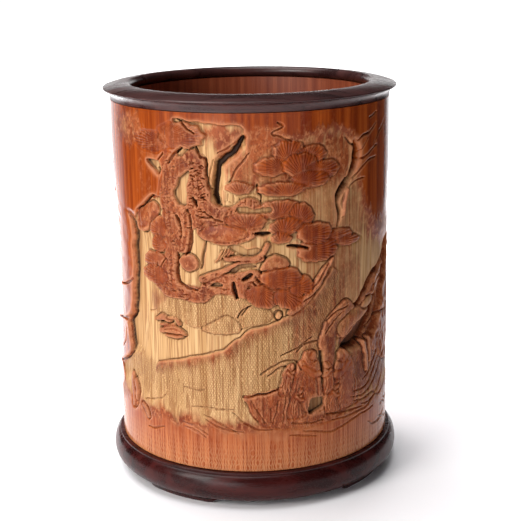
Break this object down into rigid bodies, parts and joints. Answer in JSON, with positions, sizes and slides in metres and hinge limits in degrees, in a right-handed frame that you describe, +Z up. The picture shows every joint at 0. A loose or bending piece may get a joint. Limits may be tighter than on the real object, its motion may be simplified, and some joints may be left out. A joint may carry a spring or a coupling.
{
  "type": "brush pot",
  "caption": "Cylindrical desk pot for brushes and pens: carved bamboo tube with a turned flared hardwood rim, half-round base ring, floor board and low feet.",
  "frame": {"origin": "on the surface that the pot stands on, on the axis of the tube", "axes": "+Z up along the tube's axis; the main carved face looks towards -Y"},
  "size_m": [0.1238, 0.1238, 0.165],
  "materials": {
    "bamboo": "polished carved bamboo, waxed",
    "rim_wood": "dark rosewood, satin wax",
    "base_wood": "dark red rosewood, polished",
    "board_wood": "rosewood board, oiled"
  },
  "bodies": {
    "root": {"bamboo_tube": "bamboo", "rim_ring": "rim_wood", "base_ring": "base_wood", "floor_board": "board_wood", "foot_1": "base_wood", "foot_2": "base_wood", "foot_3": "base_wood", "foot_4": "base_wood"}
  },
  "joints": []
}
